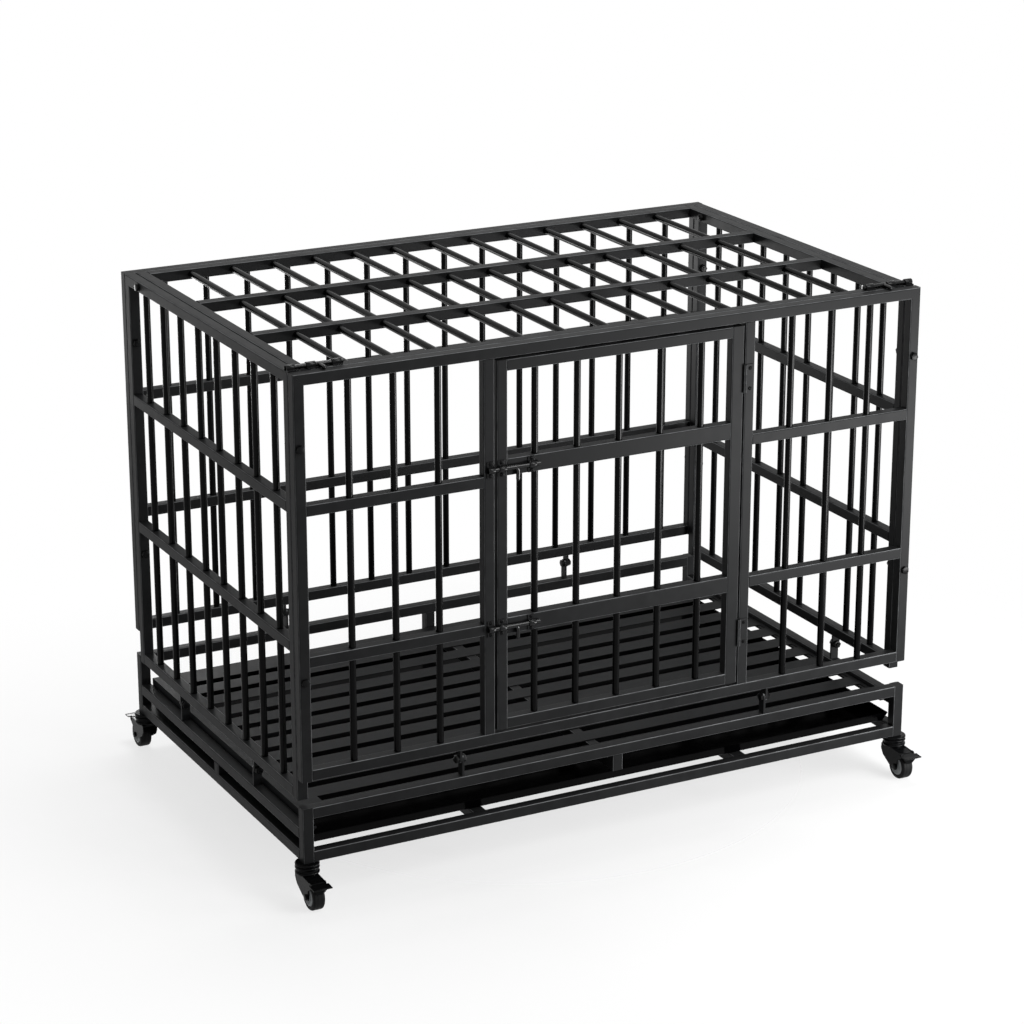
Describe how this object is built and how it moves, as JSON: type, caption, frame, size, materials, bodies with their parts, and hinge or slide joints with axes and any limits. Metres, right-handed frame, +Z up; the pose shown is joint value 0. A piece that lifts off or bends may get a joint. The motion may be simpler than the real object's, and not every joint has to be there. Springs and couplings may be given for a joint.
{
  "type": "heavy duty dog crate",
  "caption": "Fold-flat welded tube and bar dog crate with a latched front door, hinged latched lid, slatted floor, pull-out drip tray and locking swivel casters.",
  "frame": {"origin": "on the floor under the middle of the footprint", "axes": "+X to the right along the long front, +Y from the door side to the rear, +Z up"},
  "size_m": [1.243, 0.8828, 0.9489],
  "materials": {
    "powder_coat": "satin black powder coat on steel",
    "floor_coat": "satin black powder coat on sheet steel",
    "hardware": "blackened steel fasteners",
    "tray_plastic": "gloss black formed sheet",
    "hub_plastic": "grey moulded plastic",
    "tyre_rubber": "black rubber tread"
  },
  "bodies": {
    "crate": {"base_posts": "powder_coat", "base_rails": "powder_coat", "tray_bearers": "powder_coat", "floor_bearers": "powder_coat", "slat_floor": "floor_coat", "base_lugs": "powder_coat", "panel_lugs": "powder_coat", "lug_bolts": "hardware", "corner_bolts": "hardware", "lid_pivot_bolts": "hardware", "frame_nuts": "hardware", "front_frame": "powder_coat", "front_bars": "powder_coat", "rear_frame": "powder_coat", "rear_bars": "powder_coat", "left_frame": "powder_coat", "left_bars": "powder_coat", "right_frame": "powder_coat", "right_bars": "powder_coat", "jamb_leaves": "powder_coat", "hinge_pins": "hardware", "frame_screws": "hardware", "keepers": "powder_coat", "caster_cups": "powder_coat"},
    "door": {"door_frame": "powder_coat", "door_bars": "powder_coat", "door_leaves": "powder_coat", "door_guides": "powder_coat", "door_screws": "hardware"},
    "lid": {"lid_frame": "powder_coat", "lid_bars": "powder_coat", "lid_guides": "powder_coat"},
    "upper_bolt": {"upper_door_bolt": "powder_coat"},
    "lower_bolt": {"lower_door_bolt": "powder_coat"},
    "left_bolt": {"left_lid_bolt": "powder_coat"},
    "right_bolt": {"right_lid_bolt": "powder_coat"},
    "drip_tray": {"tray": "tray_plastic"},
    "front_left_swivel": {"front_left_fork": "powder_coat", "front_left_axles": "hardware"},
    "front_left_wheel": {"front_left_hub": "hub_plastic", "front_left_tyre": "tyre_rubber"},
    "front_left_brake": {"front_left_pedal": "powder_coat"},
    "front_right_swivel": {"front_right_fork": "powder_coat", "front_right_axles": "hardware"},
    "front_right_wheel": {"front_right_hub": "hub_plastic", "front_right_tyre": "tyre_rubber"},
    "front_right_brake": {"front_right_pedal": "powder_coat"},
    "rear_left_swivel": {"rear_left_fork": "powder_coat", "rear_left_axles": "hardware"},
    "rear_left_wheel": {"rear_left_hub": "hub_plastic", "rear_left_tyre": "tyre_rubber"},
    "rear_left_brake": {"rear_left_pedal": "powder_coat"},
    "rear_right_swivel": {"rear_right_fork": "powder_coat", "rear_right_axles": "hardware"},
    "rear_right_wheel": {"rear_right_hub": "hub_plastic", "rear_right_tyre": "tyre_rubber"},
    "rear_right_brake": {"rear_right_pedal": "powder_coat"}
  },
  "joints": [
    {"name": "door_hinge", "type": "hinge", "parent": "crate", "child": "door", "pos_m": [0.24375, -0.3882, 0.58], "axis": [0, 0, 1], "range_deg": [0, 150]},
    {"name": "lid_pivot", "type": "hinge", "parent": "crate", "child": "lid", "pos_m": [0, 0.3, 0.929], "axis": [-1, 0, 0], "range_deg": [0, 160]},
    {"name": "upper_bolt_slide", "type": "slide", "parent": "door", "child": "upper_bolt", "axis": [1, 0, 0], "range_m": [0, 0.016]},
    {"name": "lower_bolt_slide", "type": "slide", "parent": "door", "child": "lower_bolt", "axis": [1, 0, 0], "range_m": [0, 0.016]},
    {"name": "left_bolt_slide", "type": "slide", "parent": "lid", "child": "left_bolt", "axis": [1, 0, 0], "range_m": [0, 0.0175]},
    {"name": "right_bolt_slide", "type": "slide", "parent": "lid", "child": "right_bolt", "axis": [-1, 0, 0], "range_m": [0, 0.0175]},
    {"name": "tray_slide", "type": "slide", "parent": "crate", "child": "drip_tray", "axis": [0, -1, 0], "range_m": [0, 0.6]},
    {"name": "front_left_turn", "type": "hinge", "parent": "crate", "child": "front_left_swivel", "pos_m": [-0.6, -0.376, 0.06], "axis": [0, 0, 1], "continuous": true},
    {"name": "front_left_roll", "type": "hinge", "parent": "front_left_swivel", "child": "front_left_wheel", "pos_m": [-0.6, -0.4016, 0.025], "axis": [1, 0, 0], "continuous": true},
    {"name": "front_left_press", "type": "hinge", "parent": "front_left_swivel", "child": "front_left_brake", "pos_m": [-0.6, -0.418, 0.0515], "axis": [1, 0, 0], "range_deg": [0, 12]},
    {"name": "front_right_turn", "type": "hinge", "parent": "crate", "child": "front_right_swivel", "pos_m": [0.6, -0.376, 0.06], "axis": [0, 0, 1], "continuous": true},
    {"name": "front_right_roll", "type": "hinge", "parent": "front_right_swivel", "child": "front_right_wheel", "pos_m": [0.6, -0.4016, 0.025], "axis": [1, 0, 0], "continuous": true},
    {"name": "front_right_press", "type": "hinge", "parent": "front_right_swivel", "child": "front_right_brake", "pos_m": [0.6, -0.418, 0.0515], "axis": [1, 0, 0], "range_deg": [0, 12]},
    {"name": "rear_left_turn", "type": "hinge", "parent": "crate", "child": "rear_left_swivel", "pos_m": [-0.6, 0.376, 0.06], "axis": [0, 0, 1], "continuous": true},
    {"name": "rear_left_roll", "type": "hinge", "parent": "rear_left_swivel", "child": "rear_left_wheel", "pos_m": [-0.6, 0.4016, 0.025], "axis": [1, 0, 0], "continuous": true},
    {"name": "rear_left_press", "type": "hinge", "parent": "rear_left_swivel", "child": "rear_left_brake", "pos_m": [-0.6, 0.418, 0.0515], "axis": [-1, 0, 0], "range_deg": [0, 12]},
    {"name": "rear_right_turn", "type": "hinge", "parent": "crate", "child": "rear_right_swivel", "pos_m": [0.6, 0.376, 0.06], "axis": [0, 0, 1], "continuous": true},
    {"name": "rear_right_roll", "type": "hinge", "parent": "rear_right_swivel", "child": "rear_right_wheel", "pos_m": [0.6, 0.4016, 0.025], "axis": [1, 0, 0], "continuous": true},
    {"name": "rear_right_press", "type": "hinge", "parent": "rear_right_swivel", "child": "rear_right_brake", "pos_m": [0.6, 0.418, 0.0515], "axis": [-1, 0, 0], "range_deg": [0, 12]}
  ]
}
